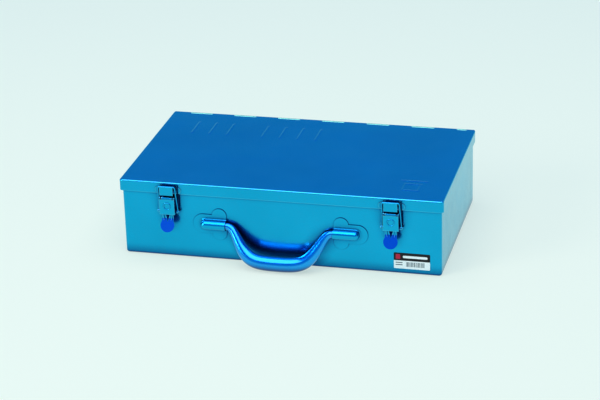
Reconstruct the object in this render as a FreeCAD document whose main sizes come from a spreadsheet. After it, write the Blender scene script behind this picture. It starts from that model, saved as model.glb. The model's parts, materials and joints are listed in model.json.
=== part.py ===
import FreeCAD, Part
import math
import os
import re
import Sketcher
from FreeCAD import Rotation, Vector

# Sheet-steel tool case with a hinged lid, two toggle latches, a drop handle and a lift-out tray.
# Millimetres. Origin at the centre of the underside, +X along the hinge, +Y to the hinge, +Z up.

doc = FreeCAD.newDocument("ToolCase")

# ---------------------------------------------------------------- driving dimensions
DIMENSIONS = {
    "LidWidth": 400,          # over the lid's side skirts
    "BoxDepth": 236.5,        # lid front face to the back of the hinge barrel
    "BoxHeight": 98,          # floor to the lid's top face
    "SkirtHeight": 14,
    "LidInset": 2.75,         # from the lid's outer face in to the walls' outer face
    "Sheet": 0.8,
    "RimGap": 0.3,            # between the walls' rim and the lid's inner face
    "CornerRadius": 4,        # vertical corners of the walls
    "BaseBend": 3,            # outer bend from the walls to the bottom lip
    "LidCornerRadius": 4,
    "LidRearRadius": 7,       # plan radius of the lid's rear corners
    "BendRadius": 1.8,
    "HemHeight": 6,
    "BottomLip": 9,
    "FloorFlange": 10,
    "FloorGap": 0.1,
    "FloorPanelGap": 0.4,     # between the lip and the floor's lowered middle
    "SeamSetback": 22,        # lap seam on the right wall, from the back face
    "SeamLap": 14,
    "SeamGroove": 0.4,
    "HingeRadius": 2.4,
    "HingeBore": 1.55,
    "HingePinRadius": 1.5,
    "HingePitch": 29.4,       # one knuckle
    "KnuckleGap": 0.5,
    "CornerLeaf": 8.5,        # lid's own rear right corner past the walls' last knuckle
    "HingeClear": 3,          # radius kept free round the hinge axis beside a knuckle
    "RibRadius": 5,
    "RibRise": 0.35,
    "RibPitch": 23.1,
    "RibLength": 36,
    "FrameSide": 19,          # raised square near the lid's front right corner
    "HandleAxisHeight": 47,
    "HandleStandoff": 4.7,    # pivot axis in front of the wall
    "HandlePivotRadius": 4.5,
    "HandleGripRadius": 9,
    "HandleDrop": 41.2,       # pivot axis to the middle of the grip
    "HandleFloorGap": 0.15,
    "HandleSwell": 0.85,      # power of the arm's thickening from pivot to grip
    "BracketInner": 66.6,     # handle bracket's inner edge from the centre
    "BracketPlate": 1,
    "BracketBar": 29.5,
    "BracketBarHalf": 12.15,
    "BracketLobe": 9,
    "BracketLobeReach": 11.35,
    "TunnelRadius": 5.9,
    "TunnelLength": 26,
    "TunnelBore": 4.6,
    "TunnelFillet": 1.6,
    "LatchOffset": 138,       # latch centre from the case's centre
    "LatchWidth": 19,
    "LatchPlate": 1,
    "LeverPivotOut": 7.25,    # lever pivot in front of the wall
    "LeverPivotHeight": 79,
    "LeverPinRadius": 1.2,
    "LeverBarrelRadius": 3,
    "LoopPivotBack": 3,       # loop pivot behind and below the lever's pivot
    "LoopPivotDrop": 17.5,
    "LoopPinRadius": 1.1,
    "LoopPinHalf": 13,
    "PinHeadRadius": 1.6,
    "PinHeadLength": 0.8,
    "EarOffset": 7.1,         # latch bracket's ears from its centre
    "EarTrim": 1.1,           # ears smaller than the lever's barrel
    "LatchBaseFoot": 58,
    "LatchBaseHeight": 25,
    "LatchWingFoot": 61,
    "LatchWingHeight": 7,
    "LeverFaceOut": 3.45,     # lever's outer face in front of its pivot
    "LeverShoulder": 19.5,    # pivot down to the plate's lower edge
    "LeverRoll": 12.6,        # rolled top between the ears
    "CheekDepth": 4.6,        # cheeks behind the lever's pivot
    "BossRadius": 4.2,        # raised ring on the lever
    "BossBead": 0.7,
    "BossDrop": 8.6,
    "TongueOverlap": 0.8,     # tongue's face behind the plate's face where they are welded
    "TongueSetback": 1.8,     # and below the plate, after its joggle
    "TongueTop": 14,
    "TongueBend": 25,         # pivot down to where the tongue leans out
    "TongueLean": 24,         # degrees
    "TongueHalf": 7.25,
    "TabRadius": 8.8,
    "TabDrop": 7.8,
    "DartHalf": 2.6,
    "DartDepth": 9.5,
    "RidgeRadius": 0.9,       # two ridges down the tongue's neck
    "WireRadius": 1,
    "LoopFootHalf": 11.7,
    "LoopTopHalf": 10.3,
    "LoopCorner": 1.8,
    "LoopEyeRadius": 2.4,
    "HookHalf": 8.3,
    "HookRise": 0.7,          # hook's crest above the bar's centre
    "HookLip": 0.35,
    "KeeperFoot": 0.5,        # hook above the skirt's lower edge
    "KeeperPlate": 11.5,
    "KeeperWing": 4,
    "KeeperWingHeight": 8,
    "BarOut": 9.25,           # loop's cross bar in front of the wall
    "BarHeight": 95,
    "RunningFit": 0.05,
    "LabelWidth": 44,
    "LabelHeight": 20.5,
    "LabelThick": 0.2,
    "LabelCentre": 161.4,
    "LabelBottom": 6.8,
    "TrayWidth": 388,
    "TrayDepth": 224,
    "TrayHeight": 30,
    "TraySheet": 0.8,
    "TrayBase": 58,
    "LongDividerBack": 20,    # long divider behind the case's centre
    "CrossDividerOffset": 65,
    "FingerSlot": 70,
    "LedgeLength": 156,
    "LedgeWidth": 8,
    "LedgeDrop": 14,
}

sheet = doc.addObject("Spreadsheet::Sheet", "Dims")
for row, (alias, value) in enumerate(DIMENSIONS.items(), start=1):
    sheet.set(f"A{row}", alias)
    sheet.set(f"B{row}", str(value))
    sheet.setAlias(f"B{row}", alias)
doc.recompute()

size = {alias: float(sheet.get(alias)) for alias in DIMENSIONS}

ALIAS = re.compile(r"\b(" + "|".join(DIMENSIONS) + r")\b")

# Faces and axes that several pieces share, as formulas of the driving dimensions.
WALL_X = "(LidWidth / 2 - LidInset)"
WALL_Y = "(BoxDepth / 2 - LidInset)"
RIM_Z = "(BoxHeight - Sheet - RimGap)"
HINGE_Y = "(BoxDepth / 2 - HingeRadius)"
HINGE_Z = "(BoxHeight - HingeRadius)"
HANDLE_Y = f"(-{WALL_Y} - HandleStandoff)"
LEVER_Y = f"(-{WALL_Y} - LeverPivotOut)"
TRAY_TOP = "(TrayBase + TrayHeight)"


# ---------------------------------------------------------------- helpers
def formula(text):
    """Turn plain dimension names into references to the sheet's cells."""
    return ALIAS.sub(r"Dims.\1", text)


def place(item, x="0", y="0", z="0"):
    """Bind an object's position to formulas."""
    for axis, text in zip("xyz", (x, y, z)):
        item.setExpression("Placement.Base." + axis, formula(text))


def primitive(kind, name, rotation, at, sizes):
    """Part primitive with bound sizes and position."""
    item = doc.addObject("Part::" + kind, name)
    item.Placement.Rotation = rotation
    for prop, text in sizes.items():
        item.setExpression(prop, formula(text))
    place(item, *at)
    return item


def box(name, length, width, height, at):
    sizes = {"Length": length, "Width": width, "Height": height}
    return primitive("Box", name, Rotation(), at, sizes)


def rod(name, axis, radius, length, at):
    """Cylinder that starts at a point and runs along +X, +Y or +Z."""
    turn = Rotation(Vector(0, 0, 1), Vector(*(float(axis == letter) for letter in "XYZ")))
    return primitive("Cylinder", name, turn, at, {"Radius": radius, "Height": length})


def ball(name, radius, at):
    return primitive("Sphere", name, Rotation(), at, {"Radius": radius})


def fuse(name, pieces):
    item = doc.addObject("Part::MultiFuse", name)
    item.Shapes = pieces
    item.Refine = True
    return item


def combine(kind, name, base, tool):
    """Part::Cut or Part::Common of two objects."""
    item = doc.addObject("Part::" + kind, name)
    item.Base = base
    item.Tool = tool
    return item


def mirror_left(item, label):
    """Left-hand twin of a right-hand piece."""
    twin = doc.addObject("Part::Mirroring", label)
    twin.Source = item
    twin.Normal = Vector(1, 0, 0)
    return twin


def solid(name, shape):
    """Document object for a shape that Part's own functions made."""
    item = doc.addObject("Part::Feature", name)
    item.Shape = shape
    return item


def rounded_rectangle(body, name, width, depth, radius, offset=("0", "0", "0")):
    """Sketch of a rectangle with round corners about its own origin, parallel to XY."""
    sketch = body.newObject("Sketcher::SketchObject", name)
    plane = next(item for item in body.Origin.OriginFeatures if item.Role == "XY_Plane")
    sketch.AttachmentSupport = [(plane, "")]
    sketch.MapMode = "FlatFace"
    for axis, text in zip("xyz", offset):
        sketch.setExpression("AttachmentOffset.Base." + axis, formula(text))
    half, round_start = 100, 5
    flat = half - round_start
    for quarter in range(4):
        turn = Rotation(Vector(0, 0, 1), 90 * quarter)
        side = Part.LineSegment(turn.multVec(Vector(-flat, -half)), turn.multVec(Vector(flat, -half)))
        sketch.addGeometry(side)
    for quarter in range(4):
        centre = Rotation(Vector(0, 0, 1), 90 * quarter).multVec(Vector(flat, -flat))
        circle = Part.Circle(centre, Vector(0, 0, 1), round_start)
        start = math.radians(90 * quarter - 90)
        sketch.addGeometry(Part.ArcOfCircle(circle, start, start + math.pi / 2))
    for side in range(4):
        corner = side + 4
        sketch.addConstraint(Sketcher.Constraint("Tangent", side, 2, corner, 1))
        sketch.addConstraint(Sketcher.Constraint("Tangent", corner, 2, (side + 1) % 4, 1))
    for side, kind in enumerate(("Horizontal", "Vertical", "Horizontal", "Vertical")):
        sketch.addConstraint(Sketcher.Constraint(kind, side))
    for corner in (5, 6, 7):
        sketch.addConstraint(Sketcher.Constraint("Equal", 4, corner))
    sketch.addConstraint(Sketcher.Constraint("Symmetric", 0, 1, 2, 1, -1, 1))
    rounding = sketch.addConstraint(Sketcher.Constraint("Radius", 4, round_start))
    across = sketch.addConstraint(Sketcher.Constraint("DistanceX", 3, 1, 1, 1, 2 * half))
    along = sketch.addConstraint(Sketcher.Constraint("DistanceY", 0, 1, 2, 1, 2 * half))
    sketch.setExpression(f"Constraints[{across}]", formula(width))
    sketch.setExpression(f"Constraints[{along}]", formula(depth))
    sketch.setExpression(f"Constraints[{rounding}]", formula(radius))
    return sketch


def pad(body, sketch, length):
    item = body.newObject("PartDesign::Pad", sketch.Name + "Pad")
    item.Profile = sketch
    item.setExpression("Length", formula(length))
    sketch.Visibility = False
    return item


def pocket(body, sketch, depth, upward=False):
    """Cut a sketch into the body, down from the sketch or up from it, and check that it cuts."""
    doc.recompute()
    before = body.Shape.Volume
    item = body.newObject("PartDesign::Pocket", sketch.Name + "Pocket")
    item.Profile = sketch
    item.Reversed = upward
    item.setExpression("Length", formula(depth))
    doc.recompute()
    if body.Shape.Volume > before - 1:
        raise RuntimeError(sketch.Name + " cuts nothing")
    return item


def round_edges(body, radius, wanted):
    """Round the edges of the body's tip that a test picks."""
    doc.recompute()
    base = body.Tip
    edges = [f"Edge{n}" for n, edge in enumerate(base.Shape.Edges, start=1) if wanted(edge)]
    if not edges:
        raise RuntimeError(body.Name + " has no such edge")
    item = body.newObject("PartDesign::Fillet", base.Name + "Fillet")
    item.Base = (base, edges)
    item.setExpression("Radius", formula(radius))
    doc.recompute()
    return item


def lies_at(edge, height):
    """An edge that lies flat at one height."""
    bounds = edge.BoundBox
    return abs(bounds.ZMin - height) < 1e-3 and abs(bounds.ZMax - height) < 1e-3


def rounded_block(name, width, depth, radius, base, height, bend=None):
    """Upright block with round vertical corners and, where a bend is given, round bottom edges."""
    body = doc.addObject("PartDesign::Body", name)
    outline = rounded_rectangle(body, name + "Outline", width, depth, radius, ("0", "0", base))
    pad(body, outline, height)
    if bend:
        doc.recompute()
        low = body.Shape.BoundBox.ZMin
        round_edges(body, bend, lambda edge: lies_at(edge, low))
    return body


def rounded_wire(points, radius):
    """Straight runs between 3-D points, joined by tangent arcs of one radius."""
    edges = []
    start = points[0]
    for before, corner, after in zip(points, points[1:], points[2:]):
        inward = (before - corner).normalize()
        outward = (after - corner).normalize()
        half = inward.getAngle(outward) / 2
        setback = radius / math.tan(half)
        bisector = (inward + outward).normalize()
        middle = corner + bisector * (radius / math.sin(half) - radius)
        first = corner + inward * setback
        last = corner + outward * setback
        edges.append(Part.makeLine(start, first))
        edges.append(Part.Arc(first, middle, last).toShape())
        start = last
    edges.append(Part.makeLine(start, points[-1]))
    return Part.Wire(edges)


def slab(outline, direction):
    """Solid made by moving a closed polygon of 3-D points along a vector."""
    face = Part.Face(Part.makePolygon(outline + outline[:1]))
    return face.extrude(direction)


# ---------------------------------------------------------------- hinge
def knuckle_starts():
    """Left ends of the body's knuckles: every second place along the hinge."""
    return [f"({n} * HingePitch)" for n in range(-6, 7, 2)]


def hinge_slot(name, start, length):
    """Space kept free for a knuckle of the other leaf."""
    at = (start, HINGE_Y + " - HingeClear", HINGE_Z + " - HingeClear")
    return box(name, length, "2 * HingeClear", "2 * HingeClear", at)


def hinge_bore(name):
    start = ("-LidWidth / 2 - 1", HINGE_Y, HINGE_Z)
    return rod(name, "X", "HingeBore", "LidWidth + 2", start)


def build_hinge_pin():
    start = ("-LidWidth / 2 + 2 * KnuckleGap", HINGE_Y, HINGE_Z)
    length = f"LidWidth / 2 + {WALL_X} - 3 * KnuckleGap"
    rod("hinge_pin", "X", "HingePinRadius", length, start)


# ---------------------------------------------------------------- case
def build_case_wrap():
    """Four walls from one strip, with a bottom lip, a folded rim, a lap seam and knuckles."""
    width = f"2 * {WALL_X}"
    depth = f"2 * {WALL_Y}"
    inner = "(CornerRadius - Sheet)"
    body = rounded_block("WrapSheet", width, depth, "CornerRadius", "0", RIM_Z, "BaseBend")
    rim = rounded_rectangle(body, "RimInside", width + " - 4 * Sheet", depth + " - 4 * Sheet",
                            inner, ("0", "0", RIM_Z))
    window = rounded_rectangle(body, "FloorWindow", width + " - 2 * BottomLip",
                               depth + " - 2 * BottomLip", inner, ("0", "0", "Sheet + 1"))
    pocket(body, rim, "HemHeight + 1")
    pocket(body, window, "Sheet + 2")
    cavity = rounded_block("WrapCavity", width + " - 2 * Sheet", depth + " - 2 * Sheet", inner,
                           "Sheet", f"{RIM_Z} - HemHeight - Sheet", "BaseBend - Sheet")
    hollow = combine("Cut", "WrapHollow", body, cavity)

    lap = box("SeamLapStrip", "Sheet", "SeamLap", f"{RIM_Z} - HemHeight - 2 * FloorFlange",
              (f"{WALL_X} - 2 * Sheet", f"{WALL_Y} - SeamSetback - SeamLap", "1.5 * FloorFlange"))
    barrel = rod("CaseBarrel", "X", "HingeRadius", f"2 * {WALL_X} - KnuckleGap",
                 ("-" + WALL_X, HINGE_Y, HINGE_Z))

    free = [hinge_slot("CaseSlotFirst", "-LidWidth / 2 - 1", "LidWidth / 2 + 1 - 6 * HingePitch")]
    for number, start in enumerate(knuckle_starts()[:-1]):
        free.append(hinge_slot(f"CaseSlot{number}", f"{start} + HingePitch", "HingePitch"))
    free.append(hinge_slot("CaseSlotLast", f"{WALL_X} - CornerLeaf - KnuckleGap", "CornerLeaf + LidInset"))
    groove = box("SeamGrooveCut", "1", "SeamGroove", "BoxHeight",
                 (f"{WALL_X} - SeamGroove", f"{WALL_Y} - SeamSetback", "-1"))
    rear_hem = box("RearHemCut", f"2 * {WALL_X} - 4 * Sheet", "Sheet", "HemHeight + 1",
                   (f"-{WALL_X} + 2 * Sheet", f"{WALL_Y} - 2 * Sheet", f"{RIM_Z} - HemHeight"))
    tools = fuse("CaseCuts", free + [groove, hinge_bore("CaseBore")])
    open_rear = combine("Cut", "WrapWithoutRearHem", hollow, rear_hem)
    walls = fuse("WallsWithBarrel", [open_rear, lap, barrel])
    combine("Cut", "case_wrap", walls, tools)


def build_case_floor():
    """Floor pan with a flange inside the walls and a middle pressed down level with the lip."""
    width = f"2 * {WALL_X} - 2 * Sheet - 2 * FloorGap"
    depth = f"2 * {WALL_Y} - 2 * Sheet - 2 * FloorGap"
    panel_inset = "2 * (LidInset + BottomLip + FloorPanelGap)"
    body = rounded_block("FloorSheet", width, depth, "CornerRadius - Sheet - FloorGap", "Sheet",
                         "FloorFlange + Sheet", "BaseBend - Sheet - FloorGap")
    panel = rounded_rectangle(body, "FloorPanel", f"LidWidth - {panel_inset}",
                              f"BoxDepth - {panel_inset}", "CornerRadius")
    pad(body, panel, "2 * Sheet")
    cavity = rounded_block("FloorCavity", width + " - 2 * Sheet", depth + " - 2 * Sheet",
                           "CornerRadius - 2 * Sheet - FloorGap", "2 * Sheet", "FloorFlange + 1",
                           "BaseBend - 2 * Sheet - FloorGap")
    dish = rounded_block("FloorDish", f"LidWidth - {panel_inset} - 2 * Sheet",
                         f"BoxDepth - {panel_inset} - 2 * Sheet", "CornerRadius - Sheet", "Sheet",
                         "2 * Sheet")
    combine("Cut", "case_floor", body, fuse("FloorHollow", [cavity, dish]))


def build_tray_ledge():
    """Angle on the side wall, with its shelf on top."""
    start = "-LedgeLength / 2"
    leg = box("LedgeLeg", "Sheet", "LedgeLength", "LedgeDrop",
              (f"{WALL_X} - 2 * Sheet", start, "TrayBase - LedgeDrop"))
    shelf = box("LedgeShelf", "LedgeWidth", "LedgeLength", "Sheet",
                (f"{WALL_X} - Sheet - LedgeWidth", start, "TrayBase - Sheet"))
    right = fuse("tray_ledge_right", [leg, shelf])
    mirror_left(right, "tray_ledge_left")


def build_label():
    box("label", "LabelWidth", "LabelThick", "LabelHeight",
        ("LabelCentre - LabelWidth / 2", f"-{WALL_Y} - LabelThick", "LabelBottom"))


# ---------------------------------------------------------------- lid
def raised_rib(name, x, y, length, along="Y"):
    """Low domed rib in the lid's top: a rod with round ends, sunk so that little of it shows."""
    depth = "BoxHeight - RibRadius + RibRise"
    if along == "Y":
        ends = [(x, f"{y} - ({length}) / 2"), (x, f"{y} + ({length}) / 2")]
    else:
        ends = [(f"{x} - ({length}) / 2", y), (f"{x} + ({length}) / 2", y)]
    pieces = [rod(name + "Rod", along, "RibRadius", length, (*ends[0], depth))]
    for number, (end_x, end_y) in enumerate(ends):
        pieces.append(ball(f"{name}End{number}", "RibRadius", (end_x, end_y, depth)))
    return pieces


def build_lid_shell():
    """Lid sheet with a hemmed skirt on three sides, raised ribs and its own knuckles."""
    body = doc.addObject("PartDesign::Body", "LidSheet")
    skirt_z = "(BoxHeight - SkirtHeight)"
    spare = "20"
    inner = "(LidCornerRadius - Sheet)"
    outline = rounded_rectangle(body, "LidOutline", "LidWidth", f"BoxDepth + {spare}",
                                "LidCornerRadius", ("0", f"{spare} / 2", skirt_z))
    hem = rounded_rectangle(body, "LidHemInside", "LidWidth - 4 * Sheet", f"BoxDepth + {spare}",
                            inner, ("0", f"{spare} / 2 + 2 * Sheet", skirt_z))
    inside = rounded_rectangle(body, "LidInside", "LidWidth - 2 * Sheet", f"BoxDepth + {spare}",
                               inner, ("0", f"{spare} / 2 + Sheet", f"{skirt_z} + HemHeight"))
    pad(body, outline, "SkirtHeight")
    round_edges(body, "BendRadius", lambda edge: lies_at(edge, size["BoxHeight"]))
    pocket(body, hem, "HemHeight + 1", upward=True)
    pocket(body, inside, "SkirtHeight - HemHeight - Sheet", upward=True)
    behind = box("BehindHinge", "LidWidth + 2", f"2 * {spare}", "2 * SkirtHeight",
                 ("-LidWidth / 2 - 1", HINGE_Y, f"{skirt_z} - 1"))
    leaf = combine("Cut", "LidLeaf", body, behind)

    barrel = rod("LidBarrel", "X", "HingeRadius", "LidWidth", ("-LidWidth / 2", HINGE_Y, HINGE_Z))
    slots = []
    for number, start in enumerate(knuckle_starts()):
        last = number == 6
        end = f"{WALL_X} - {start} + KnuckleGap - CornerLeaf"
        length = end if last else "HingePitch + KnuckleGap"
        slots.append(hinge_slot(f"LidSlot{number}", f"{start} - KnuckleGap", length))
    corners = []
    for side, name in ((-1, "Left"), (1, "Right")):
        centre_x = f"({side} * (LidWidth / 2 - LidRearRadius))"
        centre_y = "(BoxDepth / 2 - LidRearRadius)"
        low_x = centre_x if side > 0 else f"({centre_x} - LidRearRadius - 1)"
        block = box(f"CornerBlock{name}", "LidRearRadius + 1", "LidRearRadius + 1", "2 * SkirtHeight",
                    (low_x, centre_y, f"{skirt_z} - 1"))
        keep = rod(f"CornerKeep{name}", "Z", "LidRearRadius", "2 * SkirtHeight + 2",
                   (centre_x, centre_y, f"{skirt_z} - 2"))
        corners.append(combine("Cut", f"Corner{name}", block, keep))
    tools = fuse("LidCuts", slots + corners + [hinge_bore("LidBore")])

    ribs = []
    for number in (0, 1, 2, 3, 5, 6, 7):
        ribs += raised_rib(f"Rib{number}", f"(6.5 - {number} * RibPitch)", "(BoxDepth * 0.275)", "RibLength")
    frame_x = "(LidWidth * 0.388)"
    frame_y = "(-BoxDepth * 0.34)"
    for number, side in enumerate((-1, 1)):
        middle = f"({side} * FrameSide / 2)"
        ribs += raised_rib(f"FrameAcross{number}", frame_x, f"({frame_y} + {middle})", "FrameSide", "X")
        ribs += raised_rib(f"FrameAlong{number}", f"({frame_x} + {middle})", frame_y, "FrameSide")
    ribs += raised_rib("FrameBar", frame_x, f"({frame_y} + FrameSide)", "1.6 * FrameSide", "X")
    window = box("RibWindow", "LidWidth", "BoxDepth", "2",
                 ("-LidWidth / 2", "-BoxDepth / 2", "BoxHeight - Sheet / 2"))
    shown = combine("Common", "RibsShown", fuse("Ribs", ribs), window)
    whole = fuse("LidWhole", [leaf, barrel, shown])
    combine("Cut", "lid_shell", whole, tools)


# ---------------------------------------------------------------- handle
# Control points of half the centre line, from the middle of the grip to a pivot: share of the way
# out, share of the drop.
HANDLE_LINE = [(0, 1), (0.24, 1), (0.525, 0.93), (0.728, 0.5), (0.878, 0), (0.97, 0), (1, 0)]
HANDLE_STATIONS = 24


def build_handle_bracket():
    """Cross-shaped plate with a domed tunnel over the handle's pivot."""
    wall = f"(-{WALL_Y})"
    front = f"({wall} - BracketPlate)"
    middle = "HandleAxisHeight"
    bar_end = "(BracketInner + BracketBar)"
    lobe_x = "(BracketInner + BracketLobe)"
    dome_x = "(BracketInner + TunnelLength)"
    flat = [
        box("BracketBarPlate", "BracketBar", "BracketPlate", "2 * BracketBarHalf",
            ("BracketInner", front, f"{middle} - BracketBarHalf")),
        rod("BracketBarEnd", "Y", "BracketBarHalf", "BracketPlate", (bar_end, front, middle)),
        box("BracketLobePlate", "2 * BracketLobe", "BracketPlate", "2 * BracketLobeReach",
            ("BracketInner", front, f"{middle} - BracketLobeReach")),
        rod("BracketLobeTop", "Y", "BracketLobe", "BracketPlate",
            (lobe_x, front, f"{middle} + BracketLobeReach")),
        rod("BracketLobeFoot", "Y", "BracketLobe", "BracketPlate",
            (lobe_x, front, f"{middle} - BracketLobeReach")),
    ]
    tunnel = [
        rod("TunnelRod", "X", "TunnelRadius", "TunnelLength", ("BracketInner", HANDLE_Y, middle)),
        ball("TunnelDome", "TunnelRadius", (dome_x, HANDLE_Y, middle)),
        box("TunnelSides", "TunnelLength", "HandleStandoff", "2 * TunnelRadius",
            ("BracketInner", HANDLE_Y, f"{middle} - TunnelRadius")),
        rod("TunnelEnd", "Y", "TunnelRadius", "HandleStandoff", (dome_x, HANDLE_Y, middle)),
    ]
    hollow = [
        rod("TunnelBoreRod", "X", "TunnelBore", "TunnelLength + 1", ("BracketInner - 1", HANDLE_Y, middle)),
        box("TunnelBoreSlot", "TunnelLength + 1", "HandleStandoff + 1", "2 * TunnelBore",
            ("BracketInner - 1", HANDLE_Y, f"{middle} - TunnelBore")),
        box("BehindWall", "100", "20", "100", ("BracketInner - 20", wall, "0")),
    ]
    sharp = fuse("BracketWhole", flat + tunnel)
    doc.recompute()
    reach = size["TunnelRadius"] + 0.2
    face_y = -size["BoxDepth"] / 2 + size["LidInset"] - size["BracketPlate"]

    def at_tunnel_foot(edge):
        bounds = edge.BoundBox
        on_face = abs(bounds.YMin - face_y) < 1e-3 and abs(bounds.YMax - face_y) < 1e-3
        beside = abs(bounds.Center.z - size["HandleAxisHeight"]) < reach
        within = bounds.XMax < size["BracketInner"] + size["TunnelLength"] + reach
        return on_face and beside and within and bounds.XLength > 1

    radius = size["TunnelFillet"]
    whole = doc.addObject("Part::Fillet", "BracketRounded")
    whole.Base = sharp
    whole.Edges = [(number, radius, radius) for number, edge in enumerate(sharp.Shape.Edges, start=1)
                   if at_tunnel_foot(edge)]
    right = combine("Cut", "handle_bracket_right", whole, fuse("BracketHollow", hollow))
    mirror_left(right, "handle_bracket_left")


def build_handle():
    """Round tapered grip on a smooth centre line, resting on the floor at a slant."""
    drop = size["HandleDrop"]
    grip = size["HandleGripRadius"]
    pivot = size["HandlePivotRadius"]
    root = size["BracketInner"]
    axis = Vector(0, -size["BoxDepth"] / 2 + size["LidInset"] - size["HandleStandoff"],
                  size["HandleAxisHeight"])
    lean = math.acos((axis.z - grip - size["HandleFloorGap"]) / drop)
    down = Vector(0, -math.sin(lean), -math.cos(lean))
    half = [(out * root, low * drop) for out, low in HANDLE_LINE]
    poles = [(-out, low) for out, low in reversed(half)] + half[1:]
    curve = Part.BSplineCurve()
    curve.buildFromPoles([axis + Vector(out, 0, 0) + down * low for out, low in poles], False, 3)

    sections = []
    first, last = curve.FirstParameter, curve.LastParameter
    for number in range(HANDLE_STATIONS + 1):
        parameter = first + (last - first) * number / HANDLE_STATIONS
        centre = curve.value(parameter)
        along = Vector(*curve.tangent(parameter)[0])
        swell = max(0, (centre - axis).dot(down) / drop) ** size["HandleSwell"]
        radius = pivot + (grip - pivot) * swell
        sections.append(Part.Wire(Part.makeCircle(radius, centre, along)))
    shape = Part.makeLoft(sections, True, False)
    reach = size["TunnelLength"] - 1
    for side in (-1, 1):
        start = axis + Vector(side * (root - 0.5), 0, 0)
        shape = shape.fuse(Part.makeCylinder(pivot, reach, start, Vector(side, 0, 0)))
    solid("handle", shape.removeSplitter())


# ---------------------------------------------------------------- latches
def build_latch_bracket():
    """Base plate with two ears that hold the lever's pin."""
    centre = "LatchOffset"
    front = f"(-{WALL_Y} - LatchPlate)"
    ear_half = "(LeverBarrelRadius - EarTrim)"
    wing_half = "(LatchWingHeight / 2)"
    plates = [
        box("LatchBase", "LatchWidth", "LatchPlate", "LatchBaseHeight",
            (f"{centre} - LatchWidth / 2", front, "LatchBaseFoot")),
        box("LatchWing", "LatchWidth + 2", "LatchPlate", "LatchWingHeight",
            (f"{centre} - LatchWidth / 2 - 1", front, "LatchWingFoot")),
    ]
    for side in (-1, 1):
        end_x = f"{centre} + {side} * (LatchWidth / 2 + 1)"
        plates.append(rod(f"LatchWingEnd{side + 1}", "Y", wing_half, "LatchPlate",
                          (end_x, front, f"LatchWingFoot + {wing_half}")))
        inner = f"({centre} + {side} * EarOffset - LatchPlate / 2)"
        plates.append(box(f"LatchEar{side + 1}", "LatchPlate", "LeverPivotOut", f"2 * {ear_half}",
                          (inner, LEVER_Y, f"LeverPivotHeight - {ear_half}")))
        plates.append(rod(f"LatchEarEnd{side + 1}", "X", ear_half, "LatchPlate",
                          (inner, LEVER_Y, "LeverPivotHeight")))
    hole = rod("LatchEarHole", "X", "LeverPinRadius + RunningFit", "LatchWidth",
               (f"{centre} - LatchWidth / 2", LEVER_Y, "LeverPivotHeight"))
    right = combine("Cut", "latch_bracket_right", fuse("LatchBracketWhole", plates), hole)
    mirror_left(right, "latch_bracket_left")


def build_latch_pins():
    """Lever pin with two flush ends, and loop pin with two round heads."""
    lever_pin = rod("latch_lever_pin_right", "X", "LeverPinRadius", "LatchWidth",
                    ("LatchOffset - LatchWidth / 2", LEVER_Y, "LeverPivotHeight"))
    mirror_left(lever_pin, "latch_lever_pin_left")
    loop_y = f"({LEVER_Y} + LoopPivotBack)"
    loop_z = "(LeverPivotHeight - LoopPivotDrop)"
    shaft = rod("LoopPinShaft", "X", "LoopPinRadius", "2 * LoopPinHalf",
                ("LatchOffset - LoopPinHalf", loop_y, loop_z))
    heads = []
    for number, start in enumerate(("LatchOffset - LoopPinHalf - PinHeadLength + 0.1",
                                    "LatchOffset + LoopPinHalf - 0.1")):
        heads.append(rod(f"LoopPinHead{number}", "X", "PinHeadRadius", "PinHeadLength",
                         (start, loop_y, loop_z)))
    loop_pin = fuse("latch_loop_pin_right", [shaft] + heads)
    mirror_left(loop_pin, "latch_loop_pin_left")


def lever_pivot():
    """Middle of the right lever's pivot."""
    wall = -size["BoxDepth"] / 2 + size["LidInset"]
    return Vector(size["LatchOffset"], wall - size["LeverPivotOut"], size["LeverPivotHeight"])


def loop_pivot():
    """Middle of the right loop's pin."""
    return lever_pivot() + Vector(0, size["LoopPivotBack"], -size["LoopPivotDrop"])


def bar_middle():
    """Middle of the right loop's cross bar."""
    wall = -size["BoxDepth"] / 2 + size["LidInset"]
    return Vector(size["LatchOffset"], wall - size["BarOut"], size["BarHeight"])


def lever_plate(pivot, face, shoulder):
    """Flat plate, two cheeks and barrel ends on the lever's sides."""
    half = size["LatchWidth"] / 2
    thick = size["LatchPlate"]
    left = pivot - Vector(half, 0, 0)
    outline = [(face, 0), (face, shoulder), (face + thick, shoulder), (face + thick, 0)]
    solids = [slab([left + Vector(0, y, z) for y, z in outline], Vector(2 * half, 0, 0))]
    depth = size["CheekDepth"]
    cheek_outline = [(face, 0), (face, shoulder), (depth, shoulder), (depth + 0.6, shoulder + 2),
                     (size["LeverBarrelRadius"], 0)]
    for start in (-half, half - thick):
        corner = pivot + Vector(start, 0, 0)
        solids.append(slab([corner + Vector(0, y, z) for y, z in cheek_outline], Vector(thick, 0, 0)))
        solids.append(Part.makeCylinder(size["LeverBarrelRadius"], thick, corner, Vector(1, 0, 0)))
    return solids


def lever_roll(pivot, face):
    """Rolled top between the bracket's ears, joined to the plate's front."""
    roll = size["LeverRoll"]
    thick = size["LatchPlate"]
    barrel = size["LeverBarrelRadius"]
    start = pivot - Vector(roll / 2, 0, 0)
    bridge = [(face, 0), (face, -barrel), (face + thick, -barrel), (0, 0.5 - barrel), (0, 0)]
    return [
        Part.makeCylinder(barrel, roll, start, Vector(1, 0, 0)),
        slab([start + Vector(0, y, z) for y, z in bridge], Vector(roll, 0, 0)),
    ]


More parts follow.
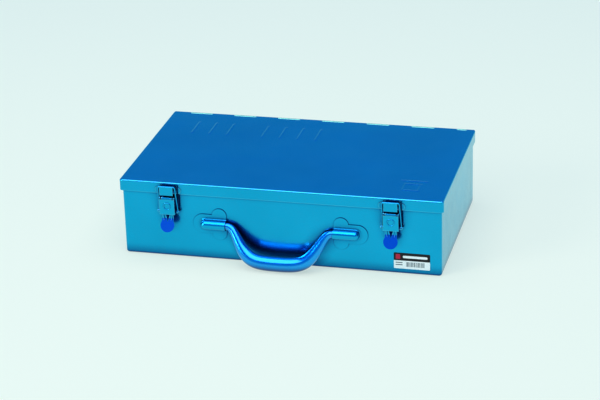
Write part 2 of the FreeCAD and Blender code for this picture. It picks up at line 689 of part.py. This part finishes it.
def lever_tongue(pivot, face, shoulder):
    """Neck set back behind the plate's lower edge, then a round tab that leans out, with a dart."""
    thick = size["LatchPlate"]
    weld = face + size["TongueOverlap"]
    back = face + size["TongueSetback"]
    top = -size["TongueTop"]
    joggle_top = shoulder + 2
    joggle_foot = shoulder + 0.5
    bend = -size["TongueBend"]
    lean = math.radians(size["TongueLean"])
    half = size["TongueHalf"]
    tab = Vector(0, back - size["TabDrop"] * math.tan(lean), bend - size["TabDrop"])
    inward = Vector(0, math.cos(lean), -math.sin(lean))
    tab_back = tab + inward * thick
    outline = [(weld, top), (weld, joggle_top), (back, joggle_foot), (back, bend), (tab.y, tab.z),
               (tab_back.y, tab_back.z), (back + thick, bend + 0.4), (back + thick, joggle_foot),
               (weld + thick, joggle_top), (weld + thick, top)]
    left = pivot - Vector(half, 0, 0)
    neck = slab([left + Vector(0, y, z) for y, z in outline], Vector(2 * half, 0, 0))
    dart_top = shoulder - 0.4
    dart_outline = [(-size["DartHalf"], dart_top), (0, shoulder - size["DartDepth"]),
                    (size["DartHalf"], dart_top)]
    dart = slab([pivot + Vector(x, -20, z) for x, z in dart_outline], Vector(0, 30, 0))
    plate = Part.makeCylinder(size["TabRadius"], thick, pivot + tab, inward)
    solids = [neck.fuse(plate).cut(dart)]
    radius = size["RidgeRadius"]
    for side in (-1, 1):
        start = pivot + Vector(side * (half - 1.65), back, shoulder - 0.5)
        foot = pivot + Vector(side * (half - 2.85), back - 2 * math.tan(lean), bend - 2)
        run = foot - start
        solids.append(Part.makeCylinder(radius, run.Length, start, run))
        solids.append(Part.makeSphere(radius, foot))
    return solids


def build_latch_lever():
    """Bent plate with cheeks, a rolled top between the bracket's ears and a round thumb tongue."""
    pivot = lever_pivot()
    face = -size["LeverFaceOut"]
    shoulder = -size["LeverShoulder"]
    boss = pivot + Vector(0, face, -size["BossDrop"])
    plate, *rest = lever_plate(pivot, face, shoulder)
    rest = lever_tongue(pivot, face, shoulder) + rest + lever_roll(pivot, face)
    rest.append(Part.makeTorus(size["BossRadius"], size["BossBead"], boss, Vector(0, 1, 0)))
    shape = plate
    for piece in rest:
        shape = shape.fuse(piece)

    fit = size["RunningFit"]
    reach = size["LatchWidth"] / 2 + 1
    for centre, radius in ((pivot, size["LeverPinRadius"]), (loop_pivot(), size["LoopPinRadius"])):
        start = centre - Vector(reach, 0, 0)
        shape = shape.cut(Part.makeCylinder(radius + fit, 2 * reach, start, Vector(1, 0, 0)))
    right = solid("latch_lever_right", shape.removeSplitter())
    mirror_left(right, "latch_lever_left")


def build_latch_loop():
    """Wire loop with an eye at each end that turns on the loop pin."""
    pivot = loop_pivot()
    bar = bar_middle()
    wire = size["WireRadius"]
    low_half = size["LoopFootHalf"]
    top_half = size["LoopTopHalf"]
    up = (bar - pivot).normalize()
    foot = pivot + up * size["LoopCorner"]
    corners = [foot - Vector(low_half, 0, 0), bar - Vector(top_half, 0, 0),
               bar + Vector(top_half, 0, 0), foot + Vector(low_half, 0, 0)]
    path = rounded_wire(corners, size["LoopCorner"])
    start = Part.Wire(Part.makeCircle(wire, corners[0], corners[1] - corners[0]))
    shape = path.makePipeShell([start], True, False)
    for side in (-1, 1):
        flank = pivot + Vector(side * low_half - wire, 0, 0)
        shape = shape.fuse(Part.makeCylinder(size["LoopEyeRadius"], 2 * wire, flank, Vector(1, 0, 0)))
    hole = size["LoopPinRadius"] + size["RunningFit"]
    reach = size["LoopPinHalf"] + 1
    shape = shape.cut(Part.makeCylinder(hole, 2 * reach, pivot - Vector(reach, 0, 0), Vector(1, 0, 0)))
    right = solid("latch_loop_right", shape.removeSplitter())
    mirror_left(right, "latch_loop_left")


def build_latch_keeper():
    """Base plate on the lid's skirt with a shelf and an upturned hook for the loop's bar."""
    bar = bar_middle()
    thick = size["Sheet"]
    skirt = -size["BoxDepth"] / 2
    centre = size["LatchOffset"]
    half = size["HookHalf"]
    foot = size["BoxHeight"] - size["SkirtHeight"] + size["KeeperFoot"]
    rest = bar.z - size["WireRadius"] - size["RunningFit"]
    inner = bar.y - size["WireRadius"] - 2 * size["RunningFit"]
    outer = inner - thick
    crest = bar.z + size["HookRise"]
    profile = [(skirt - thick / 2, rest - thick), (inner, rest - thick), (inner, foot), (outer, foot),
               (outer, crest), (inner, crest), (inner, rest), (skirt - thick / 2, rest)]
    hook = slab([Vector(centre - half, y, z) for y, z in profile], Vector(2 * half, 0, 0))

    def on_lip(edge):
        bounds = edge.BoundBox
        outside = bounds.XLength > half and bounds.Center.y < inner + 0.01
        return outside and (bounds.Center.z > crest - 0.01 or bounds.Center.z < foot + 0.01)

    hook = hook.makeFillet(size["HookLip"], [edge for edge in hook.Edges if on_lip(edge)])

    wing = size["KeeperWing"]
    height = size["KeeperWingHeight"]
    base_foot = foot + 0.3
    corner = Vector(centre - half, skirt - thick, base_foot)
    plate = Part.makeBox(2 * half, thick, size["KeeperPlate"], corner)
    shape = hook.fuse(plate)
    for side in (-1, 1):
        middle = Vector(centre + side * (half + wing), skirt - thick, base_foot + height / 2)
        shape = shape.fuse(Part.makeCylinder(wing, thick, middle, Vector(0, 1, 0)))
        low = Vector(min(middle.x, centre + side * half), middle.y, base_foot)
        shape = shape.fuse(Part.makeBox(wing, thick, height, low))
    right = solid("latch_keeper_right", shape.removeSplitter())
    mirror_left(right, "latch_keeper_left")


# ---------------------------------------------------------------- tray
def build_tray():
    """Open pan with a long divider, finger slot in it, and two cross dividers in front."""
    body = doc.addObject("PartDesign::Body", "tray_pan")
    outline = rounded_rectangle(body, "TrayOutline", "TrayWidth", "TrayDepth", "2 * LidCornerRadius",
                                ("0", "0", "TrayBase"))
    inside = rounded_rectangle(body, "TrayInside", "TrayWidth - 2 * TraySheet",
                               "TrayDepth - 2 * TraySheet", "2 * LidCornerRadius - TraySheet",
                               ("0", "0", TRAY_TOP))
    pad(body, outline, "TrayHeight")
    pocket(body, inside, "TrayHeight - TraySheet")

    floor_z = "(TrayBase + TraySheet)"
    inner_length = "(TrayWidth - 2 * TraySheet)"
    inner_height = "(TrayHeight - TraySheet)"
    blank = box("LongDividerBlank", inner_length, "TraySheet", inner_height,
                (f"-{inner_length} / 2", "LongDividerBack", floor_z))
    slot_z = f"({TRAY_TOP} - 12)"
    slot = [box("FingerSlotBox", "FingerSlot", "3", "12",
                ("-FingerSlot / 2", "LongDividerBack - 1", f"{slot_z} - 6"))]
    for side in (-1, 1):
        slot.append(rod(f"FingerSlotEnd{side + 1}", "Y", "6", "3",
                        (f"{side} * FingerSlot / 2", "LongDividerBack - 1", slot_z)))
    combine("Cut", "tray_long_divider", blank, fuse("FingerSlotCut", slot))

    front = "(TrayDepth / 2 - TraySheet)"
    right = box("tray_cross_divider_right", "TraySheet", f"{front} + LongDividerBack",
                f"{inner_height} - 2", ("CrossDividerOffset", f"-{front}", floor_z))
    mirror_left(right, "tray_cross_divider_left")


# ---------------------------------------------------------------- build, check and write
NODES = ["case_wrap", "case_floor", "hinge_pin", "label", "lid_shell", "handle",
         "tray_pan", "tray_long_divider"]
for pair in ("handle_bracket", "latch_bracket", "latch_lever_pin", "latch_loop_pin", "latch_lever",
             "latch_loop", "latch_keeper", "tray_ledge", "tray_cross_divider"):
    NODES += [pair + "_left", pair + "_right"]

build_case_wrap()
build_case_floor()
build_hinge_pin()
build_tray_ledge()
build_label()
build_lid_shell()
build_handle_bracket()
build_handle()
build_latch_bracket()
build_latch_pins()
build_latch_lever()
build_latch_loop()
build_latch_keeper()
build_tray()
doc.recompute()

for item in doc.Objects:
    if "Invalid" in item.State or "Error" in item.State:
        raise RuntimeError(f"{item.Name} failed: {item.State}")

os.makedirs("parts", exist_ok=True)
for node in NODES:
    item = doc.getObject(node)
    item.Label = node
    shape = item.Shape
    if shape.isNull() or not shape.isValid():
        raise RuntimeError(node + " has no valid shape")
    print(f"{node:28s} solids {len(shape.Solids)}  volume {shape.Volume:10.1f}")
    shape.exportStep(f"parts/{node}.step")
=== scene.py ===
import json
import math

import bmesh
import bpy
from mathutils import Matrix, Vector


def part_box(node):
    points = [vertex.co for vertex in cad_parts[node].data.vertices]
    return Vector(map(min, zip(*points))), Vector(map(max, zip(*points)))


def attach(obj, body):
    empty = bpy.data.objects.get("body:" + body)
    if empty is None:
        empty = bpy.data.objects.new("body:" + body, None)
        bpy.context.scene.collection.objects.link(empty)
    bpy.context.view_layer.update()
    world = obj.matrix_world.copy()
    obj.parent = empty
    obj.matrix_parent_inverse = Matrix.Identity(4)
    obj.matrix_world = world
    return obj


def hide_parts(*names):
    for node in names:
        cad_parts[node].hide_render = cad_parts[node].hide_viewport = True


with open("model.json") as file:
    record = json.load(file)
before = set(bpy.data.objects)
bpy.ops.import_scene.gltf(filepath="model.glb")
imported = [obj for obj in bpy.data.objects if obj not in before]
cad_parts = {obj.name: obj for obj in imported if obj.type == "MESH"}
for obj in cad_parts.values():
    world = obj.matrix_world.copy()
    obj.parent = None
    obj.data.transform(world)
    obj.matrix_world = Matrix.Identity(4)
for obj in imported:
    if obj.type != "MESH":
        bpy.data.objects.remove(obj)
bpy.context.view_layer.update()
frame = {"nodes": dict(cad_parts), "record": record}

# Steel tool case: sheet-metal body, hinged lid, drop handle and two latches in metallic blue enamel.
# Metres, in the row frame: +X along the hinge, +Y to the hinge, +Z up.

# ---------------------------------------------------------------- camera and light
SENSOR = 36.0                      # mm
LENS = 126.24                      # mm
CAMERA_PLACE = Vector((0.5953, -2.3506, 1.0838))
CAMERA_YAW = -14.293               # degrees, negative looks to the left
CAMERA_PITCH = 23.379              # degrees below the horizon
CAMERA_ROLL = -1.663               # degrees
CAMERA_REACH = 50                  # clip distance

FLOOR_HALF = 6.0
FLOOR_COLOUR = (0.30, 0.27, 0.20, 1)
FLOOR_GLOW = (0.58, 0.655, 0.63, 1)
# Surroundings by height: pale at the horizon, blue from there up.
WORLD_STOPS = [(0.0, (0.78, 0.92, 0.88, 1)), (0.12, (0.50, 0.70, 0.80, 1)),
               (0.28, (0.04, 0.43, 0.70, 1)), (0.75, (0.04, 0.28, 0.80, 1))]
# name, place, target, size, watts, colour
LIGHTS = [("softbox", (0.15, -0.6, 2.2), (0.15, -0.6, 0), (2.6, 3.2), 49, (1.0, 0.97, 0.86)),
          ("left_fill", (-2.8, -2.6, 1.7), (0, 0, 0.05), (1.6, 1.6), 60, (1.0, 0.97, 0.92))]
VIEW_GAMMA = 0.8

# ---------------------------------------------------------------- paint
BODY_BLUE = ((0.006, 0.43, 0.69), (0.009, 0.47, 0.75))     # darker and lighter mottle
HANDLE_BLUE = ((0.005, 0.38, 0.84), (0.007, 0.42, 0.90))
# painted dark reflection: deeper blue drawn on the lever's thumb tab
THUMB_REFLECTION_BLUE = (0.03, 0.26, 0.92, 1)
KNUCKLE_HIGHLIGHT_BLUE = (0.36, 0.76, 0.56, 1)  # painted highlight on the knuckle tops
# painted shade: deep blue drawn into seams, under parts and near the floor
PAINTED_SHADE_COLOUR = (0.001, 0.06, 0.26, 1)
PAINTED_SHADE_REACH = 0.018                 # painted shade: paint drawn deeper this close to a neighbouring surface
# painted highlight: pale colour drawn along outer edges and bends
EDGE_HIGHLIGHT_COLOUR = (0.25, 0.78, 0.85, 1)
EDGE_HIGHLIGHT_REACH = 0.0007                # painted highlight: paint drawn paler this close to an outer edge
# strength of the painted edge highlight
EDGE_HIGHLIGHT_STRENGTH = 0.8
BODY_COAT = 0.25
HANDLE_COAT = 0.9
OPENNESS_SAMPLES = 12

THUMB_RISE = 0.0165                # thumb tab's top above its foot
KNUCKLE_DROP = 0.0009              # painted highlight strip starts this far below the knuckles' tops
THUMB_FADE = 0.0006                # half the height over which the thumb tab's painted dark reflection sets in
KNUCKLE_HIGHLIGHT_FADE = 0.0003               # the same for the painted highlight strip
THUMB_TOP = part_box("latch_lever_right")[0].z + THUMB_RISE
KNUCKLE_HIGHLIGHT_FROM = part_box("case_wrap")[1].z - KNUCKLE_DROP

# fitting, bevel width
SOFT_EDGES = {"latch_lever": 0.00025, "latch_keeper": 0.0002, "handle_bracket": 0.0003}
SHARP_ANGLE = math.radians(30)     # edges that turn more than this stay sharp
BEVEL_ANGLE = math.radians(40)     # edges of the small fittings that turn more than this are rounded

# ---------------------------------------------------------------- label
# The bands, the mark and the bars are shares of its width and height: low u, low v, high u, high v.
LABEL_LOW, LABEL_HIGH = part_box("label")
LABEL_CORNER = 0.0012              # radius
CORNER_STEPS = 4
LABEL_INK = 0.00003                # ink stands this far proud of the film
BAND_FOOT = 0.52                   # dark band above, white below
MARK = (0.05, 0.60, 0.18, 0.92)
TITLE_BAR = (0.25, 0.68, 0.93, 0.84)
LINE_START, LINE_END, LINE_HEIGHT = 0.05, 0.24, 0.05
LINE_FEET = (0.36, 0.22)
BARS_START, BARS_FOOT, BARS_TOP = 0.34, 0.14, 0.44
BAR_COUNT = 16
THIN_BAR, WIDER_BAR = 0.010, 0.006   # thinnest bar, and what each wider one adds
THIN_GAP, WIDER_GAP = 0.016, 0.005
WHITE, BLACK, RED, GREY = range(4)


# ---------------------------------------------------------------- camera, floor and light
def make_camera():
    yaw = math.radians(CAMERA_YAW)
    pitch = math.radians(CAMERA_PITCH)
    roll = math.radians(CAMERA_ROLL)
    forward = Vector((math.sin(yaw) * math.cos(pitch), math.cos(yaw) * math.cos(pitch), -math.sin(pitch)))
    right = Vector((math.cos(yaw), -math.sin(yaw), 0))
    up = right.cross(forward)
    rolled_right = math.cos(roll) * right + math.sin(roll) * up
    rolled_up = math.cos(roll) * up - math.sin(roll) * right
    data = bpy.data.cameras.new("camera")
    data.sensor_width = SENSOR
    data.lens = LENS
    data.clip_end = CAMERA_REACH
    camera = bpy.data.objects.new("camera", data)
    turn = Matrix((rolled_right, rolled_up, -forward)).transposed()
    camera.matrix_world = Matrix.Translation(CAMERA_PLACE) @ turn.to_4x4()
    bpy.context.collection.objects.link(camera)
    bpy.context.scene.camera = camera


def make_area_light(name, place, target, size, power, colour):
    data = bpy.data.lights.new(name, "AREA")
    data.shape = "RECTANGLE"
    data.size, data.size_y = size
    data.energy = power
    data.color = colour
    light = bpy.data.objects.new(name, data)
    light.location = place
    light.rotation_euler = (Vector(target) - Vector(place)).to_track_quat("-Z", "Y").to_euler()
    bpy.context.collection.objects.link(light)


def make_stage():
    """Pale table top that glows a little, as an overexposed one does."""
    mesh = bpy.data.meshes.new("floor")
    corners = [(FLOOR_HALF * x, FLOOR_HALF * y, 0) for x, y in ((-1, -1), (1, -1), (1, 1), (-1, 1))]
    mesh.from_pydata(corners, [], [range(4)])
    floor = bpy.data.objects.new("floor", mesh)
    bpy.context.collection.objects.link(floor)
    material, nodes, shader = new_material("floor_paper")
    shader.inputs["Base Color"].default_value = FLOOR_COLOUR
    shader.inputs["Roughness"].default_value = 0.9
    shader.inputs["Specular IOR Level"].default_value = 0.1
    shader.inputs["Emission Color"].default_value = FLOOR_GLOW
    shader.inputs["Emission Strength"].default_value = 1.0
    mesh.materials.append(material)


def make_world():
    world = bpy.data.worlds.new("studio")
    world.use_nodes = True
    nodes = world.node_tree.nodes
    links = world.node_tree.links
    place = nodes.new("ShaderNodeTexCoord")
    split = nodes.new("ShaderNodeSeparateXYZ")
    shade = nodes.new("ShaderNodeValToRGB")
    set_stops(shade, WORLD_STOPS)
    links.new(place.outputs["Generated"], split.inputs["Vector"])
    links.new(split.outputs["Z"], shade.inputs["Fac"])
    links.new(shade.outputs["Color"], nodes["Background"].inputs["Color"])
    nodes["Background"].inputs["Strength"].default_value = 1.0
    bpy.context.scene.world = world


# ---------------------------------------------------------------- node helpers
def new_material(name):
    material = bpy.data.materials.new(name)
    material.use_nodes = True
    nodes = material.node_tree.nodes
    return material, nodes, nodes["Principled BSDF"]


def link(material, source, output, target, socket):
    material.node_tree.links.new(source.outputs[output], target.inputs[socket])


def set_stops(shade, stops):
    """Give a colour ramp its (position, colour) stops."""
    elements = shade.color_ramp.elements
    while len(elements) < len(stops):
        elements.new(0.5)
    for element, (position, colour) in zip(elements, stops):
        element.position = position
        element.color = colour


def ramp(material, nodes, source, output, stops):
    item = nodes.new("ShaderNodeValToRGB")
    set_stops(item, stops)
    link(material, source, output, item, "Fac")
    return item


def grey(value):
    return (value, value, value, 1)


def noise(material, nodes, scale, detail=2.0, rough=0.5):
    """Noise over the object's own coordinates, in features per metre."""
    place = nodes.new("ShaderNodeTexCoord")
    texture = nodes.new("ShaderNodeTexNoise")
    texture.inputs["Scale"].default_value = scale
    texture.inputs["Detail"].default_value = detail
    texture.inputs["Roughness"].default_value = rough
    link(material, place, "Object", texture, "Vector")
    return texture


def openness(material, nodes, reach, stops, inside=False):
    """Ramp over how open the surface is within a short reach, outwards or into its own sheet."""
    item = nodes.new("ShaderNodeAmbientOcclusion")
    item.samples = OPENNESS_SAMPLES
    item.inside = inside
    item.only_local = inside
    item.inputs["Distance"].default_value = reach
    return ramp(material, nodes, item, "AO", stops).outputs["Color"]


def height_share(material, nodes, zero, full):
    """Rises from 0 to 1 between two heights on the part, in its own coordinates."""
    place = nodes.new("ShaderNodeTexCoord")
    split = nodes.new("ShaderNodeSeparateXYZ")
    spread = nodes.new("ShaderNodeMapRange")
    spread.inputs["From Min"].default_value = zero
    spread.inputs["From Max"].default_value = full
    link(material, place, "Object", split, "Vector")
    link(material, split, "Z", spread, "Value")
    return spread.outputs["Result"]


def mix_colour(material, nodes, share, colour, fixed):
    """Blend a colour output towards a fixed colour by a share output."""
    item = nodes.new("ShaderNodeMix")
    item.data_type = "RGBA"
    first, second = [socket for socket in item.inputs if socket.type == "RGBA"]
    second.default_value = fixed
    material.node_tree.links.new(share, item.inputs["Factor"])
    material.node_tree.links.new(colour, first)
    return next(socket for socket in item.outputs if socket.type == "RGBA")


def bump(material, nodes, shader, heights):
    """Chain of bump nodes: (texture, strength, distance in metres) each."""
    before = None
    for texture, strength, distance in heights:
        item = nodes.new("ShaderNodeBump")
        item.inputs["Strength"].default_value = strength
        item.inputs["Distance"].default_value = distance
        link(material, texture, "Fac", item, "Height")
        if before is not None:
            link(material, before, "Normal", item, "Normal")
        before = item
    link(material, before, "Normal", shader, "Normal")


# ---------------------------------------------------------------- materials
def blue_paint(name, blues, highlight_strength=0.0, coat=BODY_COAT, painted_light_band=None):
    """Metallic enamel: mottled, with painted shade in seams and near neighbouring parts, a painted
    highlight along outer edges, orange peel and a wavy sheet.

    The last argument gives (height where it starts, height where it is full, colour) of an end painted in
    another tone: a painted highlight on the knuckles, a painted dark reflection on the thumb tab.
    """
    material, nodes, shader = new_material(name)
    cloud = noise(material, nodes, scale=9, detail=3)
    dark, light = blues
    mottle = ramp(material, nodes, cloud, "Fac", [(0.3, (*dark, 1)), (0.7, (*light, 1))])
    tone = mottle.outputs["Color"]
    # painted light at one end: a highlight on the knuckles, a dark reflection on the thumb tab
    if painted_light_band:
        zero, full, fixed = painted_light_band
        tone = mix_colour(material, nodes, height_share(material, nodes, zero, full), tone, fixed)
    # painted shade: paint drawn deep blue where a neighbouring surface is close
    painted_shade_share = openness(material, nodes, PAINTED_SHADE_REACH, [(0.35, grey(1)), (0.92, grey(0))])
    shaded = mix_colour(material, nodes, painted_shade_share, tone, PAINTED_SHADE_COLOUR)
    # painted highlight: paint drawn paler along outer edges
    edge_highlight_share = openness(material, nodes, EDGE_HIGHLIGHT_REACH, [(0.45, grey(highlight_strength)), (0.86, grey(0))], inside=True)
    highlighted = mix_colour(material, nodes, edge_highlight_share, shaded, EDGE_HIGHLIGHT_COLOUR)
    material.node_tree.links.new(highlighted, shader.inputs["Base Color"])
    gloss = noise(material, nodes, scale=55, detail=4, rough=0.6)
    roughness = ramp(material, nodes, gloss, "Fac", [(0.25, grey(0.17)), (0.8, grey(0.25))])
    link(material, roughness, "Color", shader, "Roughness")
    shader.inputs["Metallic"].default_value = 1.0
    shader.inputs["Specular Tint"].default_value = (1.0, 1.0, 0.92, 1)
    shader.inputs["Coat Weight"].default_value = coat
    shader.inputs["Coat Roughness"].default_value = 0.07
    peel = noise(material, nodes, scale=700)
    wave = noise(material, nodes, scale=14, detail=1)
    bump(material, nodes, shader, [(wave, 0.18, 0.004), (peel, 0.12, 0.0004)])
    return material


def pin_steel():
    """Plated wire: brushed grey with fine scratches."""
    material, nodes, shader = new_material("pin_steel")
    streak = noise(material, nodes, scale=900, detail=3)
    greys = [(0.3, (0.55, 0.62, 0.66, 1)), (0.7, (0.78, 0.84, 0.87, 1))]
    colour = ramp(material, nodes, streak, "Fac", greys)
    link(material, colour, "Color", shader, "Base Color")
    shader.inputs["Metallic"].default_value = 1.0
    shader.inputs["Roughness"].default_value = 0.28
    bump(material, nodes, shader, [(streak, 0.15, 0.0002)])
    return material


def label_print(name, colour, roughness):
    """Printed film: ink with a fine grain and a slow ripple of the film."""
    material, nodes, shader = new_material(name)
    grain = noise(material, nodes, scale=1500, detail=3)
    thin_ink = tuple(0.86 * part for part in colour)
    shade = ramp(material, nodes, grain, "Fac", [(0.3, (*thin_ink, 1)), (0.7, (*colour, 1))])
    link(material, shade, "Color", shader, "Base Color")
    shader.inputs["Roughness"].default_value = roughness
    ripple = noise(material, nodes, scale=120, detail=1)
    bump(material, nodes, shader, [(ripple, 0.3, 0.0003)])
    return material


# ---------------------------------------------------------------- CAD nodes
def node_materials():
    """Material of each CAD node: steel pins, special paints for a few parts and the body's for the rest."""
    pressed = blue_paint("pressed_paint", BODY_BLUE)
    # painted dark reflection on the thumb tab of the lever
    thumb_reflection = (THUMB_TOP + THUMB_FADE, THUMB_TOP - THUMB_FADE, THUMB_REFLECTION_BLUE)
    lever = blue_paint("lever_paint", BODY_BLUE, EDGE_HIGHLIGHT_STRENGTH, painted_light_band=thumb_reflection)
    # painted highlight along the knuckle tops of the case
    knuckle_highlight = (KNUCKLE_HIGHLIGHT_FROM - KNUCKLE_HIGHLIGHT_FADE, KNUCKLE_HIGHLIGHT_FROM + KNUCKLE_HIGHLIGHT_FADE, KNUCKLE_HIGHLIGHT_BLUE)
    special = {"handle": blue_paint("handle_paint", HANDLE_BLUE, coat=HANDLE_COAT),
               "case_wrap": blue_paint("case_paint", BODY_BLUE, EDGE_HIGHLIGHT_STRENGTH, painted_light_band=knuckle_highlight)}
    for side in ("left", "right"):
        special[f"latch_lever_{side}"] = lever
        special[f"handle_bracket_{side}"] = pressed
    body = blue_paint("blue_paint", BODY_BLUE, EDGE_HIGHLIGHT_STRENGTH)
    steel = pin_steel()
    slots = {part["node"]: part["material_slot"] for part in frame["record"]["subparts"]}
    return {node: steel if slots.get(node) == "steel_pin" else special.get(node, body)
            for node in frame["nodes"]}


def dress_node(node, material):
    """Give a node its material, and smooth shading over bends."""
    mesh = frame["nodes"][node].data
    mesh.materials.clear()
    mesh.materials.append(material)
    mesh.shade_smooth()
    mesh.set_sharp_from_angle(angle=SHARP_ANGLE)


def soften_edges(node, width):
    """Rounded sheet edges on a small fitting."""
    bevel = frame["nodes"][node].modifiers.new("soft_edges", "BEVEL")
    bevel.width = width
    bevel.segments = 2
    bevel.limit_method = "ANGLE"
    bevel.angle_limit = BEVEL_ANGLE


# ---------------------------------------------------------------- label
def rounded_outline(low_u, low_v, high_u, high_v, width, height, round_low=False, round_high=False):
    """Counter-clockwise outline of a rectangle, in shares, whose low or high corners are round."""
    across = LABEL_CORNER / width
    up = LABEL_CORNER / height
    corners = [(low_u, low_v, 180, round_low), (high_u, low_v, 270, round_low),
               (high_u, high_v, 0, round_high), (low_u, high_v, 90, round_high)]
    points = []
    for u, v, start, is_round in corners:
        if not is_round:
            points.append((u, v))
            continue
        centre_u = u + across if u == low_u else u - across
        centre_v = v + up if v == low_v else v - up
        for step in range(CORNER_STEPS + 1):
            angle = math.radians(start + 90 / CORNER_STEPS * step)
            points.append((centre_u + across * math.cos(angle), centre_v + up * math.sin(angle)))
    return points


def make_label():
    """Generic sticker: a dark upper band with a plain mark and a bar, thin bars on white below."""
    width = LABEL_HIGH.x - LABEL_LOW.x
    height = LABEL_HIGH.z - LABEL_LOW.z
    inks = [label_print("label_white", (0.93, 0.94, 0.88), 0.35),
            label_print("label_black", (0.004, 0.005, 0.008), 0.30),
            label_print("label_red", (0.60, 0.02, 0.07), 0.32),
            label_print("label_grey", (0.10, 0.14, 0.15), 0.4)]
    mesh = bmesh.new()

    def panel(share, ink, lift=LABEL_INK, **rounding):
        """Thin tile of film over a share of the label, its front at a small lift."""
        front = LABEL_LOW.y - lift
        points = rounded_outline(*share, width, height, **rounding)
        places = [(LABEL_LOW.x + u * width, front, LABEL_LOW.z + v * height) for u, v in points]
        fronts = [mesh.verts.new(place) for place in places]
        backs = [mesh.verts.new((vert.co.x, LABEL_HIGH.y, vert.co.z)) for vert in fronts]
        mesh.faces.new(fronts).material_index = ink
        mesh.faces.new(backs[::-1]).material_index = ink
        for number, vert in enumerate(fronts):
            before = number - 1
            mesh.faces.new((vert, fronts[before], backs[before], backs[number])).material_index = ink

    panel((0, 0, 1, BAND_FOOT), WHITE, lift=0, round_low=True)
    panel((0, BAND_FOOT, 1, 1), BLACK, lift=0, round_high=True)
    panel(MARK, RED, round_low=True, round_high=True)
    panel(TITLE_BAR, WHITE, round_low=True, round_high=True)
    for foot in LINE_FEET:
        panel((LINE_START, foot, LINE_END, foot + LINE_HEIGHT), GREY)
    start = BARS_START
    for number in range(BAR_COUNT):
        bar = THIN_BAR + WIDER_BAR * (number * 5 % 3)
        gap = THIN_GAP + WIDER_GAP * (number * 3 % 4 == 1)
        panel((start, BARS_FOOT, start + bar, BARS_TOP), GREY)
        start += bar + gap
    piece = finish_mesh(mesh, "label_print", inks)
    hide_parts("label")
    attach(piece, "case")


def finish_mesh(mesh, name, materials):
    data = bpy.data.meshes.new(name)
    mesh.normal_update()
    mesh.to_mesh(data)
    mesh.free()
    for material in materials:
        data.materials.append(material)
    piece = bpy.data.objects.new(name, data)
    bpy.context.collection.objects.link(piece)
    return piece


# ---------------------------------------------------------------- scene
make_camera()
make_stage()
make_world()
for light in LIGHTS:
    make_area_light(*light)
view = bpy.context.scene.view_settings
view.view_transform = "Standard"
view.gamma = VIEW_GAMMA

for node, material in node_materials().items():
    dress_node(node, material)
for fitting, width in SOFT_EDGES.items():
    for side in ("left", "right"):
        soften_edges(f"{fitting}_{side}", width)
make_label()
